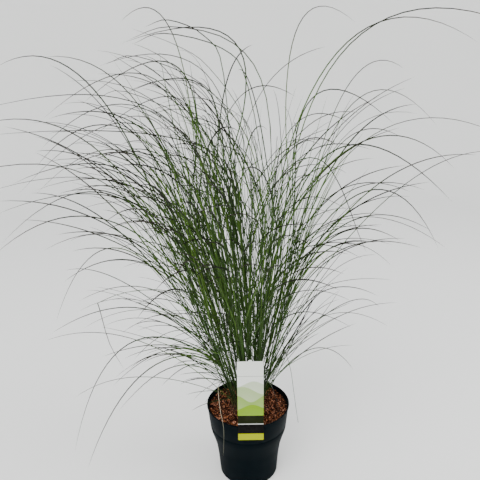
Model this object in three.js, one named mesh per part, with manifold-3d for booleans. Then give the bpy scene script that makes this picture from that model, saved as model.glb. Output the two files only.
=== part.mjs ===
// Potted maiden grass: a clump of narrow arching leaves in a tapered nursery pot.
// Millimetres, +Z up, +X to the right and +Y away from the viewer.
// The origin is the middle of the pot's flat underside.

import * as THREE from 'three';
import { mergeVertices } from 'three/addons/utils/BufferGeometryUtils.js';
import Module from 'manifold-3d';

const wasm = await Module();
wasm.setup();

// Pot: outer radius of the wall at rising heights, from the base to the wide collar
const POT_HEIGHT = 249;
const POT_WALL = [[3, 94.5], [65, 99.5], [105, 105], [125, 110], [145, 116], [166, 123], [244, 131.5]];
const POT_BASE_RADIUS = 92.5;
const WALL = 2.2;
const FLOOR = 3;
const RIM_RADIUS = 133;
const LIP = 4;
const POT_SIDES = 28;
const DRAIN_HOLES = 6;
const DRAIN_RADIUS = 7;
const DRAIN_CIRCLE = 62;

// Clearance between pieces that touch in the real thing
const GAP = 0.3;

// Filling: the root ball, its raised crown where the stems stand, and the bark round it
const SOIL_TOP = 222;
const CROWN_TOP = 236;
const CROWN_RADIUS = 62;
const BARK_TOP = 236;
const BARK_RELIEF = 3;
const BARK_SECTORS = 40;
const BARK_RINGS = 6;

// Label that stands on a hook over the front of the rim
const LABEL_WIDTH = 77;
const LABEL_MIDDLE = 6;
const LABEL_BOTTOM = 206;
const LABEL_TOP = 474;
const LABEL_THICK = 0.8;
const TAB_WIDTH = 12;
const TAB_HEIGHT = 5;
const HOOK_WIDTH = 34;
const HOOK_DEPTH = 25;
const HOOK_RISE = 2;

// Clump of stems, how far the outer ones lean out, and how far the whole clump leans left
const SHOOTS = 44;
const CLUMP_RADIUS = 50;
const GOLDEN_ANGLE = 137.508;
const STEM_DEPTH = 34;
const STEM_RADIUS = 2.5;
const STEM_TOP_RADIUS = 1.6;
const STEM_SIDES = 4;
const STEM_SPANS = 3;
const STEM_LENGTH = [690, 470];
const STEM_LEAN = 16.5;
const CLUMP_LEAN = 3.5;
const STEM_BOW = 5;

// Leaves
const LEAVES_PER_SHOOT = 6;
const LEAF_WIDTH = 4.2;
const LEAF_THICK = 1;
const LEAF_SPANS = 5;
const LEAF_LENGTH = [400, 700];
const LEAF_ROOTS = [0.22, 1];
const LEAF_CLEARANCE = 4.6;
const TRIES = 90;

// The longest leaves, as the plant shows them: azimuth in degrees from +X, height of the root
// on its stem, then reach from the pot's axis and height of the crest and of the tip
const LEADING_LEAVES = [
  [6, 780, 210, 1430, 300, 1390],
  [-10, 760, 470, 1410, 700, 1350],
  [14, 800, 480, 1410, 720, 1340],
  [-4, 760, 260, 1200, 420, 1270],
  [-16, 780, 360, 1220, 500, 1130],
  [10, 800, 250, 1220, 440, 1120],
  [2, 700, 520, 1140, 740, 1080],
  [18, 740, 460, 1080, 720, 960],
  [-12, 780, 310, 1080, 560, 930],
  [4, 560, 440, 930, 730, 1040],
  [-20, 560, 370, 970, 530, 820],
  [8, 600, 360, 850, 640, 730],
  [-6, 420, 230, 680, 380, 760],
  [12, 350, 300, 530, 480, 460],
  [-14, 350, 260, 600, 390, 620],
  [-18, 270, 240, 480, 330, 420],
  [174, 800, 180, 1340, 330, 1400],
  [190, 820, 130, 1380, 320, 1340],
  [177, 830, 230, 1300, 450, 1190],
  [188, 800, 300, 1270, 530, 1160],
  [166, 800, 260, 1320, 430, 1290],
  [184, 760, 400, 1230, 640, 1290],
  [180, 790, 340, 1190, 570, 1070],
  [193, 810, 210, 1210, 410, 1110],
  [196, 740, 440, 1220, 660, 1190],
  [170, 820, 190, 1250, 380, 1200],
  [178, 740, 480, 1120, 730, 1110],
  [169, 730, 420, 1130, 650, 1000],
  [184, 690, 370, 1070, 590, 950],
  [162, 800, 380, 1140, 800, 900],
  [192, 640, 390, 1070, 680, 1150],
  [176, 620, 520, 990, 760, 950],
  [200, 640, 440, 1060, 610, 1020],
  [172, 560, 480, 930, 780, 860],
  [186, 600, 430, 970, 690, 830],
  [164, 420, 420, 730, 800, 800],
  [194, 560, 470, 900, 700, 800],
  [180, 560, 390, 780, 590, 540],
  [198, 400, 330, 690, 510, 770],
  [164, 360, 370, 540, 720, 400],
  [174, 400, 380, 600, 540, 550],
  [190, 300, 330, 500, 600, 520],
  [190, 330, 280, 520, 560, 130],
  [184, 290, 220, 440, 530, 50],
  [196, 330, 220, 480, 420, 380],
  [170, 350, 210, 490, 380, 370],
];

// Dead leaves: root at the clump's edge, over the rim on the left and past it on the right
const DRY_LEAVES = {
  dry_leaf_left: [
    [-39, -31, 204], [-42, -34, 240], [-66, -52, 352], [-89, -86, 366],
    [-86, -114, 304], [-76, -132, 246], [-79, -139, 150],
  ],
  dry_leaf_right: [
    [37, 30, 204], [40, 32, 240], [62, 50, 400], [98, 46, 450],
    [134, 30, 370], [154, 14, 240], [176, 4, 90],
  ],
};
const DRY_WIDTH = 3.4;
const DRY_SPANS = 11;

const COLOURS = {
  pot: [0x1b2529, 0.5],
  soil: [0x2c2019, 0.95],
  bark: [0x74432e, 0.9],
  label: [0xd8dcd2, 0.45],
  grass: [0x4b7a34, 0.6],
  straw: [0xb09a72, 0.8],
};

const UP = new THREE.Vector3(0, 0, 1);

function material(name) {
  const [color, roughness] = COLOURS[name];
  return new THREE.MeshStandardMaterial({ color, roughness, metalness: 0 });
}

function mix(a, b, share) {
  return a + (b - a) * share;
}

function radians(degrees) {
  return THREE.MathUtils.degToRad(degrees);
}

// Point at a reach and a height in the upright plane of an azimuth
function polar(azimuth, reach, height) {
  const turn = radians(azimuth);
  return new THREE.Vector3(reach * Math.cos(turn), reach * Math.sin(turn), height);
}

// Unit vector that leans from upright by an angle toward an azimuth
function leaning(azimuth, lean) {
  return polar(azimuth, Math.sin(radians(lean)), Math.cos(radians(lean)));
}

// Repeatable draws between 0 and 1, told apart by up to three whole numbers
function dice(first, second = 0, third = 0) {
  let state = 1 + (first * 7919 + second * 104729 + third * 1299709) % 2147483646;
  const draw = () => {
    state = (state * 16807) % 2147483647;
    return state / 2147483647;
  };
  draw();
  draw();
  return draw;
}

function solid(geometry) {
  const bare = geometry.clone();
  bare.deleteAttribute('normal');
  bare.deleteAttribute('uv');
  const merged = mergeVertices(bare, 1e-4);
  return new wasm.Manifold(new wasm.Mesh({
    numProp: 3,
    vertProperties: new Float32Array(merged.attributes.position.array),
    triVerts: new Uint32Array(merged.index.array),
  }));
}

function meshOf(body, name, colour) {
  const { vertProperties, triVerts } = body.getMesh();
  const geometry = new THREE.BufferGeometry();
  geometry.setAttribute('position', new THREE.BufferAttribute(vertProperties, 3));
  geometry.setIndex(new THREE.BufferAttribute(triVerts, 1));
  geometry.computeVertexNormals();
  const mesh = new THREE.Mesh(geometry, material(colour));
  mesh.name = name;
  return mesh;
}

// Turned body about the Z axis, from a profile of radius and height pairs
function turned(profile, sides) {
  const points = profile.map(([radius, height]) => new THREE.Vector2(radius, height));
  return new THREE.LatheGeometry(points, sides).rotateX(Math.PI / 2);
}

// Slim body along a line of points: a cylinder or cone whose rings are moved onto the line.
// halfWidth and halfThick give its section at a share of the length, roll turns that section
// from lying flat across the plane of the line
function slimBody(points, sides, pointed, halfWidth, halfThick, roll = () => 0) {
  const spans = points.length - 1;
  const geometry = new THREE.CylinderGeometry(pointed ? 0 : 1, 1, spans, sides, spans);
  const position = geometry.attributes.position;
  const across = new THREE.Vector3().subVectors(points[spans], points[0]).cross(UP).normalize();
  for (let i = 0; i < position.count; i++) {
    const ring = Math.round(position.getY(i) + spans / 2);
    const share = ring / spans;
    const before = points[Math.max(ring - 1, 0)];
    const after = points[Math.min(ring + 1, spans)];
    const along = new THREE.Vector3().subVectors(after, before).normalize();
    const side = across.clone().applyAxisAngle(along, roll(share));
    const lift = new THREE.Vector3().crossVectors(side, along).normalize();
    side.crossVectors(along, lift);
    const reach = Math.hypot(position.getX(i), position.getZ(i));
    const angle = Math.atan2(position.getX(i), position.getZ(i));
    const onAxis = reach < 1e-6;
    const place = points[ring].clone();
    if (!onAxis) {
      place.addScaledVector(side, Math.sin(angle) * halfWidth(share));
      place.addScaledVector(lift, Math.cos(angle) * halfThick(share));
    }
    position.setXYZ(i, place.x, place.y, place.z);
  }
  return geometry;
}

function makePot() {
  const outside = POT_WALL.map(([height, radius]) => [radius, height]);
  const inside = POT_WALL.slice(1).map(([height, radius]) => [radius - WALL, height]).reverse();
  const profile = [
    [0, 0], [POT_BASE_RADIUS, 0], ...outside,
    [RIM_RADIUS, POT_HEIGHT - LIP], [RIM_RADIUS, POT_HEIGHT],
    [innerRadius(POT_HEIGHT), POT_HEIGHT], ...inside,
    [innerRadius(FLOOR), FLOOR], [0, FLOOR],
  ];
  let body = solid(turned(profile, POT_SIDES));
  for (let i = 0; i < DRAIN_HOLES; i++) {
    const drill = new THREE.CylinderGeometry(DRAIN_RADIUS, DRAIN_RADIUS, 4 * FLOOR, 6);
    drill.rotateX(Math.PI / 2);
    drill.translate(...polar(360 * (i + 0.5) / DRAIN_HOLES, DRAIN_CIRCLE, 0).toArray());
    body = body.subtract(solid(drill));
  }
  return body;
}

// Inner radius of the pot's wall at a height
function innerRadius(height) {
  let [below, above] = [POT_WALL[0], POT_WALL[1]];
  for (let i = 1; i < POT_WALL.length - 1 && POT_WALL[i][0] <= height; i++) {
    [below, above] = [POT_WALL[i], POT_WALL[i + 1]];
  }
  return mix(below[1], above[1], (height - below[0]) / (above[0] - below[0])) - WALL;
}

// Root ball: fills the pot below the bark and rises to the crown in the middle
function makeRootBall() {
  const foot = FLOOR + GAP;
  const heights = [foot, ...POT_WALL.slice(1, -1).map(([height]) => height), SOIL_TOP];
  const wall = heights.map((height) => [innerRadius(height) - GAP * 1.3, height]);
  const profile = [
    [0, foot], ...wall,
    [CROWN_RADIUS, SOIL_TOP], [CROWN_RADIUS - 3, CROWN_TOP - 2], [CROWN_RADIUS - 8, CROWN_TOP],
    [0, CROWN_TOP],
  ];
  return solid(turned(profile, POT_SIDES));
}

// Bark mulch: a ring of coarse chips as relief, each corner lifted and shifted by a draw
function makeBark() {
  const draw = dice(31);
  const inner = CROWN_RADIUS + 1;
  const floor = SOIL_TOP + GAP;
  const flat = Math.cos(Math.PI / POT_SIDES);
  const outer = innerRadius(BARK_TOP - BARK_RELIEF) * flat - GAP;
  const profile = [[inner, floor], [innerRadius(floor) * flat - GAP, floor]];
  for (let i = BARK_RINGS; i >= 0; i--) {
    profile.push([mix(inner, outer, i / BARK_RINGS), BARK_TOP]);
  }
  profile.push([inner, floor]);
  const geometry = turned(profile, BARK_SECTORS);
  geometry.deleteAttribute('normal');
  geometry.deleteAttribute('uv');
  const merged = mergeVertices(geometry, 1e-3);
  const position = merged.attributes.position;
  const pitch = (outer - inner) / BARK_RINGS;
  for (let i = 0; i < position.count; i++) {
    const place = new THREE.Vector3().fromBufferAttribute(position, i);
    const radius = Math.hypot(place.x, place.y);
    const edge = radius < inner + 1 || radius > outer - 1;
    if (place.z > BARK_TOP - 1) {
      const shift = edge ? 0 : pitch * 0.32;
      place.x += (draw() - 0.5) * 2 * shift;
      place.y += (draw() - 0.5) * 2 * shift;
      place.z += (draw() - 0.5) * 2 * BARK_RELIEF;
      position.setXYZ(i, place.x, place.y, place.z);
    }
  }
  return solid(merged);
}

// Label: an upright plate in front of the rim, with a hook over the rim down its inside
function makeLabel() {
  const back = -(RIM_RADIUS + GAP);
  const height = LABEL_TOP - LABEL_BOTTOM;
  const plate = new THREE.BoxGeometry(LABEL_WIDTH, LABEL_THICK, height);
  plate.translate(LABEL_MIDDLE, back - LABEL_THICK / 2, (LABEL_TOP + LABEL_BOTTOM) / 2);
  const tab = new THREE.CylinderGeometry(TAB_WIDTH / 2, TAB_WIDTH / 2, LABEL_THICK, 12);
  tab.scale(1, 1, TAB_HEIGHT / (TAB_WIDTH / 2));
  tab.translate(LABEL_MIDDLE, back - LABEL_THICK / 2, LABEL_TOP);
  const over = POT_HEIGHT + HOOK_RISE;
  const corner = LABEL_MIDDLE + HOOK_WIDTH / 2;
  const insideAt = (z) => -Math.sqrt(innerRadius(z) ** 2 - corner ** 2) + 2 * GAP + 0.4;
  const end = POT_HEIGHT - HOOK_DEPTH;
  const side = new THREE.Shape([
    [back - LABEL_THICK / 2, over], [back - LABEL_THICK / 2, over + LABEL_THICK],
    [insideAt(over) + LABEL_THICK, over + LABEL_THICK], [insideAt(end) + LABEL_THICK, end],
    [insideAt(end), end], [insideAt(over), over],
  ].map(([y, z]) => new THREE.Vector2(y, z)));
  const hook = new THREE.ExtrudeGeometry(side, { depth: HOOK_WIDTH, bevelEnabled: false });
  hook.translate(0, 0, LABEL_MIDDLE - HOOK_WIDTH / 2);
  hook.applyMatrix4(new THREE.Matrix4().makeBasis(
    new THREE.Vector3(0, 1, 0), UP, new THREE.Vector3(1, 0, 0)));
  return solid(plate).add(solid(tab)).add(solid(hook));
}

// Slot in the bark and soil for the label's hook
function hookSlot() {
  const slot = new THREE.BoxGeometry(HOOK_WIDTH + 2 * GAP, 12, 60);
  slot.translate(LABEL_MIDDLE, -innerRadius(POT_HEIGHT) + 4, POT_HEIGHT - HOOK_DEPTH - 1 + 30);
  return solid(slot);
}

// Stem of one shoot: straight in its hole, then bowing outward a little
function makeShoot(index) {
  const share = Math.sqrt((index + 0.5) / SHOOTS);
  const draw = dice(index + 1);
  const outward = index * GOLDEN_ANGLE;
  const foot = polar(outward, CLUMP_RADIUS * share, CROWN_TOP);
  const first = leaning(outward, STEM_LEAN * share + 2 * (draw() - 0.5));
  first.x -= Math.sin(radians(CLUMP_LEAN));
  first.normalize();
  const azimuth = THREE.MathUtils.radToDeg(Math.atan2(first.y, first.x));
  const lean = THREE.MathUtils.radToDeg(Math.acos(first.z));
  const length = mix(STEM_LENGTH[0], STEM_LENGTH[1], share ** 2) * mix(0.92, 1.08, draw());
  const last = leaning(azimuth + 16 * (draw() - 0.5), lean + STEM_BOW * mix(0.6, 1.4, draw()));
  const middle = foot.clone().addScaledVector(first, length / 2);
  const top = middle.clone().addScaledVector(last, length / 2);
  const bow = new THREE.QuadraticBezierCurve3(foot, middle, top);
  const points = [foot.clone().addScaledVector(first, -STEM_DEPTH), ...bow.getPoints(STEM_SPANS)];
  return { index, share, azimuth, lean, foot, first, points, leaves: [] };
}

// Point on the stem's centre line at a share of its free length
function onStem(shoot, share) {
  const place = Math.min(Math.max(share, 0), 0.999) * STEM_SPANS;
  const span = Math.floor(place);
  return shoot.points[span + 1].clone().lerp(shoot.points[span + 2], place - span);
}

// Point on the stem's centre line at a height
function onStemAt(shoot, height) {
  const foot = shoot.foot.z;
  const top = shoot.points[shoot.points.length - 1].z;
  return onStem(shoot, (height - foot) / (top - foot));
}

// Curve from a root over a crest to a tip: where the tip hangs below the crest, the crest is
// the curve's highest point, and otherwise the curve's middle
function archOver(root, crest, tip) {
  const rise = crest.z - root.z;
  const drop = crest.z - tip.z;
  const climb = drop > 0 ? rise + Math.sqrt(rise * drop) : 0;
  const share = drop > 0 ? climb / (2 * climb + root.z - tip.z) : 0.5;
  const control = crest.clone().addScaledVector(root, -((1 - share) ** 2));
  control.addScaledVector(tip, -(share ** 2)).divideScalar(2 * share * (1 - share));
  return new THREE.QuadraticBezierCurve3(root, control, tip);
}

// A leading leaf goes over its crest and ends at its tip, with a little sway after the first try
function leadingLeaf(shoot, row, index, attempt) {
  const draw = dice(500 + index, attempt);
  const sway = attempt ? 1 : 0;
  const [azimuth, rootHeight, crestReach, crestHeight, tipReach, tipHeight] = row;
  const turn = azimuth + sway * mix(-5, 5, draw());
  const root = onStemAt(shoot, rootHeight + sway * mix(-90, 60, draw()));
  const lift = sway * mix(-12, 12, draw());
  const crest = polar(turn, crestReach, crestHeight + lift);
  const tip = polar(turn + sway * mix(-3, 3, draw()), tipReach, tipHeight + lift);
  return archOver(root, crest, tip);
}

// Any other leaf leaves its stem at a small angle, then arches over
function drawnLeaf(shoot, rank, attempt) {
  const draw = dice(shoot.index + 1, rank + 1, attempt);
  const share = mix(...LEAF_ROOTS, (rank + 0.3 + 0.6 * draw()) / LEAVES_PER_SHOOT);
  const side = rank % 2 ? 1 : -1;
  const azimuth = shoot.azimuth + side * mix(160, 60, shoot.share) * mix(0.05, 1, draw());
  const length = mix(...LEAF_LENGTH, 0.4 * draw() + 0.6 * share);
  const along = Math.max(Math.cos(radians(azimuth - shoot.azimuth)), 0);
  const start = shoot.lean * along + mix(4, 12, draw());
  const end = mix(112, 94, share) + mix(-28, 26, draw());
  const root = onStem(shoot, share);
  const bend = mix(0.58, 0.72, draw());
  const control = root.clone().addScaledVector(leaning(azimuth, start), length * bend);
  const turn = azimuth + mix(-20, 20, draw());
  const tip = control.clone().addScaledVector(leaning(turn, end), length * (1.06 - bend));
  return new THREE.QuadraticBezierCurve3(root, control, tip);
}

// Least distance between two straight spans
function spanDistance(a, b, c, d) {
  const first = new THREE.Vector3().subVectors(b, a);
  const second = new THREE.Vector3().subVectors(d, c);
  const offset = new THREE.Vector3().subVectors(a, c);
  const aa = first.dot(first);
  const ee = second.dot(second);
  const ff = second.dot(offset);
  const cc = first.dot(offset);
  const bb = first.dot(second);
  const denominator = aa * ee - bb * bb;
  let s = denominator > 1e-9 ? THREE.MathUtils.clamp((bb * ff - cc * ee) / denominator, 0, 1) : 0;
  let t = (bb * s + ff) / ee;
  if (t < 0 || t > 1) {
    t = THREE.MathUtils.clamp(t, 0, 1);
    s = THREE.MathUtils.clamp((bb * t - cc) / aa, 0, 1);
  }
  return offset.addScaledVector(first, s).addScaledVector(second, -t).length();
}

// Everything that a leaf keeps clear of, as straight spans with their owner
const taken = [];

function claim(points, owner) {
  for (let i = 0; i + 1 < points.length; i++) {
    const box = new THREE.Box3().setFromPoints([points[i], points[i + 1]]);
    taken.push({ from: points[i], to: points[i + 1], box, owner });
  }
}

// A leaf's first span may meet its own shoot, where it grows out of it
function clearOfOthers(points, owner) {
  for (let i = 0; i + 1 < points.length; i++) {
    const box = new THREE.Box3().setFromPoints([points[i], points[i + 1]]);
    box.expandByScalar(LEAF_CLEARANCE);
    for (const other of taken) {
      if ((i === 0 && other.owner === owner) || !box.intersectsBox(other.box)) continue;
      if (spanDistance(points[i], points[i + 1], other.from, other.to) < LEAF_CLEARANCE) return false;
    }
  }
  return true;
}

// A leaf stays off the pot, the label and the ground
const labelSpace = new THREE.Box3(
  new THREE.Vector3(LABEL_MIDDLE - LABEL_WIDTH / 2 - 8, -RIM_RADIUS - 12, LABEL_BOTTOM - 8),
  new THREE.Vector3(LABEL_MIDDLE + LABEL_WIDTH / 2 + 8, -RIM_RADIUS + 12, LABEL_TOP + 14));

function clearOfPot(points) {
  for (let i = 0; i + 1 < points.length; i++) {
    for (let step = 0; step < 12; step++) {
      const place = points[i].clone().lerp(points[i + 1], step / 12);
      const overPot = Math.hypot(place.x, place.y) < RIM_RADIUS + 8;
      if (place.z < 10 || (overPot && place.z < POT_HEIGHT + 8)) return false;
      if (labelSpace.containsPoint(place)) return false;
    }
  }
  return true;
}

// Takes the first attempt that keeps clear; a leaf that finds no room is left out
function placeLeaf(shoot, propose) {
  for (let attempt = 0; attempt < TRIES; attempt++) {
    const points = propose(attempt).getPoints(LEAF_SPANS);
    if (clearOfPot(points) && clearOfOthers(points, shoot.index)) {
      claim(points, shoot.index);
      shoot.leaves.push(points);
      return;
    }
  }
}

function leafBody(points, seed) {
  const draw = dice(900 + seed, points.length);
  const turn = mix(-0.9, 0.9, draw());
  const twist = mix(-0.8, 0.8, draw());
  const half = (share) => Math.min(0.25 + 5 * share, 1) * (1 - share ** 2.4) + 0.04;
  return solid(slimBody(points, 3, true,
    (share) => LEAF_WIDTH / 1.732 * half(share),
    (share) => LEAF_THICK / 1.5 * Math.min(1, 0.4 + half(share)),
    (share) => turn + twist * share));
}

function shootBody(shoot) {
  const radius = (share) => mix(STEM_RADIUS, STEM_TOP_RADIUS, share);
  let body = solid(slimBody(shoot.points, STEM_SIDES, false, radius, radius));
  shoot.leaves.forEach((points, rank) => {
    body = body.add(leafBody(points, shoot.index * 20 + rank));
  });
  return body;
}

// Plain hole for a stem or a dead leaf's root: its buried end, a little wider and deeper
function holeFor(from, to, radius) {
  const along = new THREE.Vector3().subVectors(to, from).normalize();
  const points = [from.clone().addScaledVector(along, -GAP), to.clone().addScaledVector(along, 12)];
  const corner = () => radius + GAP / Math.cos(Math.PI / STEM_SIDES);
  return solid(slimBody(points, STEM_SIDES, false, corner, corner));
}

const shoots = [];
for (let i = 0; i < SHOOTS; i++) {
  shoots.push(makeShoot(i));
  claim(shoots[i].points, i);
}

const dryLines = {};
for (const [name, path] of Object.entries(DRY_LEAVES)) {
  const [foot, ...above] = path.map((point) => new THREE.Vector3(...point));
  dryLines[name] = [foot, ...new THREE.CatmullRomCurve3(above).getPoints(DRY_SPANS)];
  claim(dryLines[name], name);
}

// Each leading leaf grows on the shoot that faces its way and has the fewest of them
LEADING_LEAVES.forEach((row, index) => {
  const burden = (shoot) => {
    const away = Math.abs(((shoot.azimuth - row[0]) % 360 + 540) % 360 - 180);
    const tall = Math.abs(shoot.share - (row[1] > 600 ? 0.5 : 0.9));
    return away + 45 * shoot.leaves.length + 60 * tall;
  };
  const shoot = shoots.reduce((best, other) => (burden(other) < burden(best) ? other : best));
  placeLeaf(shoot, (attempt) => leadingLeaf(shoot, row, index, attempt));
});

for (let rank = 0; rank < LEAVES_PER_SHOOT; rank++) {
  for (const shoot of shoots) {
    if (shoot.leaves.length <= rank) {
      placeLeaf(shoot, (attempt) => drawnLeaf(shoot, rank, attempt));
    }
  }
}

let rootBall = makeRootBall().subtract(hookSlot());
const bark = makeBark().subtract(hookSlot());
for (const shoot of shoots) {
  rootBall = rootBall.subtract(holeFor(shoot.points[0], shoot.points[1], STEM_RADIUS));
}
for (const line of Object.values(dryLines)) {
  rootBall = rootBall.subtract(holeFor(line[0], line[1], DRY_WIDTH / 1.732));
}

const plant = new THREE.Group();
plant.add(meshOf(makePot(), 'pot', 'pot'));
plant.add(meshOf(rootBall, 'root_ball', 'soil'));
plant.add(meshOf(bark, 'bark_mulch', 'bark'));
plant.add(meshOf(makeLabel(), 'label', 'label'));
for (const shoot of shoots) {
  const name = `shoot_${String(shoot.index + 1).padStart(2, '0')}`;
  plant.add(meshOf(shootBody(shoot), name, 'grass'));
}
for (const [name, line] of Object.entries(dryLines)) {
  const half = (share) => DRY_WIDTH / 1.732 * Math.min(1, 1.25 - 0.9 * share);
  const body = solid(slimBody(line, 3, true, half, () => 0.6, (share) => 2 * share));
  plant.add(meshOf(body, name, 'straw'));
}

export default plant;
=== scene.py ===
"""Finished looks of a potted maiden grass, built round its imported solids.

Metres, +Z up, +X to the right and +Y away from the viewer. The origin is the middle of the
pot's underside. The pot, the bark, the label, the shoots and the dead leaves are modelled
here; the root ball keeps its solid and gets its soil.
"""

from collections import namedtuple
from math import acos, atan2, cos, degrees, pi, radians, sin, sqrt
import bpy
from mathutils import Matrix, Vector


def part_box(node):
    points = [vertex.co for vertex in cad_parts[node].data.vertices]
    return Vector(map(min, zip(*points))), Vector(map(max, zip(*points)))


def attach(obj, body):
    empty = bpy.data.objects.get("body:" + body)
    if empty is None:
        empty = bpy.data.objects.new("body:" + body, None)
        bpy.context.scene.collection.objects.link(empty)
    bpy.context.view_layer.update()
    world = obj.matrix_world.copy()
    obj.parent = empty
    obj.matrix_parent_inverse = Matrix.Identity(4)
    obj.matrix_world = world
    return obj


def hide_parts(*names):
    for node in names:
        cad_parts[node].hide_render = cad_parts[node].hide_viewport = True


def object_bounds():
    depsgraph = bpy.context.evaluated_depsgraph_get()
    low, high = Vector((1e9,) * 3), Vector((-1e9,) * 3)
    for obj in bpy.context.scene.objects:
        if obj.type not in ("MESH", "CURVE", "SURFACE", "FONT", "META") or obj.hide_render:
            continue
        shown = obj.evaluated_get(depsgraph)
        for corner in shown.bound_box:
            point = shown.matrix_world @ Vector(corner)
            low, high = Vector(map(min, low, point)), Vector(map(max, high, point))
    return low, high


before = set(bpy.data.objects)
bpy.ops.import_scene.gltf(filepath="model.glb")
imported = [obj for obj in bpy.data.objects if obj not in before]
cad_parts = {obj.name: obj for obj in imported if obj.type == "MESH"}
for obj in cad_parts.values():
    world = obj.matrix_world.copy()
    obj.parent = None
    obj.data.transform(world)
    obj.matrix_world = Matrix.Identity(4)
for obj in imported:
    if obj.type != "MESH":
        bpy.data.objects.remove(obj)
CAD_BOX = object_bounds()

from types import SimpleNamespace

import bpy
import numpy as np
from bpy.props import (FloatProperty, FloatVectorProperty, IntProperty, IntVectorProperty,
                       PointerProperty)
from mathutils import Euler, Matrix, Vector

bl_info = {
    "name": "Potted maiden grass",
    "version": (1, 0, 0),
    "blender": (4, 5, 0),
    "location": "View3D > Sidebar > Grass",
    "description": "Builds a potted maiden grass with its pot, bark, label, shoots and stage",
    "category": "Object",
}

MM = 0.001
UP = np.array([0.0, 0.0, 1.0])
BODY = "root"

# Rule for the stems, the same as the solids follow
SHOOTS = 44
CLUMP_RADIUS = 50 * MM
CROWN_TOP = 236 * MM
GOLDEN_ANGLE = 137.508
STEM_DEPTH = 34 * MM
STEM_LENGTH = (690 * MM, 470 * MM)
STEM_LEAN = 16.5
CLUMP_LEAN = 3.5
STEM_BOW = 5
STEM_SWAY = 16
LENGTH_CHANGE = (0.92, 1.08)
BOW_CHANGE = (0.6, 1.4)

# The solids' leaves: three-sided bodies of this many spans
SOLID_SIDES = 3
SOLID_SPANS = 5


def colour_property(name, description, default):
    return FloatVectorProperty(
        name=name, description=description, default=default,
        subtype="COLOR", size=3, min=0, max=1,
    )


def length_property(name, description, default):
    return FloatProperty(
        name=name, description=description, default=default, min=0,
        subtype="DISTANCE", unit="LENGTH", precision=5,
    )


def number_property(name, description, default, low=0):
    return IntProperty(name=name, description=description, default=default, min=low)


def power_property(name, description, default):
    return FloatProperty(
        name=name, description=description, default=default, min=0, unit="POWER")


def angle_property(name, description, default):
    return FloatProperty(
        name=name, description=description, default=radians(default),
        subtype="ANGLE", unit="ROTATION")


class StageSettings(bpy.types.PropertyGroup):
    """Backdrop, light and camera."""

    backdrop_colour: colour_property("Backdrop", "Colour of the floor and the wall round it",
                                     (0.88, 0.88, 0.865))
    backdrop_radius: length_property("Backdrop radius", "Reach of the flat floor", 4.2)
    key_power: power_property("Key light", "Power of the large light above the camera", 190)
    fill_power: power_property("Fill light", "Power of the light from the right", 70)
    sky_strength: FloatProperty(
        name="Sky", description="Strength of the even light from all round", default=1.3, min=0)
    camera_place: FloatVectorProperty(
        name="Camera", description="Place of the camera",
        default=(-0.018, -1.467, 1.253), subtype="TRANSLATION", unit="LENGTH")
    camera_pitch: angle_property("Camera pitch", "Angle of the view below the horizon", 17.2)
    camera_roll: angle_property("Camera roll", "Turn of the camera about its view", -0.865)
    lens: FloatProperty(
        name="Lens", description="Focal length of the camera", default=39.2, min=1, unit="CAMERA")


class PotSettings(bpy.types.PropertyGroup):
    """Nursery pot."""

    colour: colour_property("Plastic", "Colour of the pot", (0.0006, 0.0024, 0.0036))
    dust_colour: colour_property("Dust", "Colour of the dust and dried splashes on the pot",
                                 (0.010, 0.013, 0.013))
    wall: length_property("Wall", "Thickness of the pot's wall", 2.2 * MM)
    rounding: length_property("Rounding", "Length of the curve at each bend of the wall", 9 * MM)
    sides: number_property("Sides", "Facets round the pot", 96, 12)
    crease_height: length_property("Crease", "Height of the mould's crease under the collar",
                                   181 * MM)
    crease_depth: length_property("Crease depth", "Depth of that crease", 0.7 * MM)
    drain_radius: length_property("Drain radius", "Radius of the holes in the floor", 7 * MM)
    drain_circle: length_property("Drain circle", "Distance of the holes from the axis", 62 * MM)
    drain_holes: number_property("Drain holes", "Number of holes in the floor", 6)


class BarkSettings(bpy.types.PropertyGroup):
    """Bark chips on the soil."""

    dark_colour: colour_property("Dark bark", "Colour of the oldest chips",
                                 (0.0045, 0.0014, 0.0011))
    bright_colour: colour_property("Bright bark", "Colour of the freshest chips",
                                   (0.44, 0.145, 0.055))
    soil_colour: colour_property("Soil", "Colour of the root ball", (0.022, 0.014, 0.009))
    chips: number_property("Chips", "Number of chips", 5200)
    chip_length: length_property("Chip length", "Length of a middling chip", 6.6 * MM)
    surface: length_property("Surface", "Height of the bark's base", 234 * MM)
    depth: length_property("Depth", "Thickness of the bark's base", 8 * MM)


class LabelSettings(bpy.types.PropertyGroup):
    """Printed plastic sheet in front of the rim."""

    paper_colour: colour_property("Paper", "Pale ground of the label", (0.72, 0.74, 0.70))
    green_colour: colour_property("Green", "Deepest green of its hills", (0.19, 0.33, 0.012))
    olive_colour: colour_property("Olive", "Colour of the upper dark band", (0.008, 0.011, 0.0015))
    black_colour: colour_property("Black", "Colour of the lower dark band", (0.0012, 0.001, 0.001))
    lime_colour: colour_property("Lime", "Colour of the lowest band", (0.33, 0.37, 0.0))
    thickness: length_property("Thickness", "Thickness of the sheet", 0.8 * MM)
    corner: length_property("Corner", "Radius of its corners", 2.5 * MM)
    tab_width: length_property("Tab width", "Width of the small tab on top", 12 * MM)
    tab_height: length_property("Tab height", "Height of the small tab on top", 5 * MM)
    hook_width: length_property("Hook width", "Width of the hook over the rim", 34 * MM)
    hook_depth: length_property("Hook depth", "How far the hook goes down inside", 25 * MM)
    hook_rise: length_property("Hook rise", "Clearance of the hook over the rim", 2 * MM)


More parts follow.
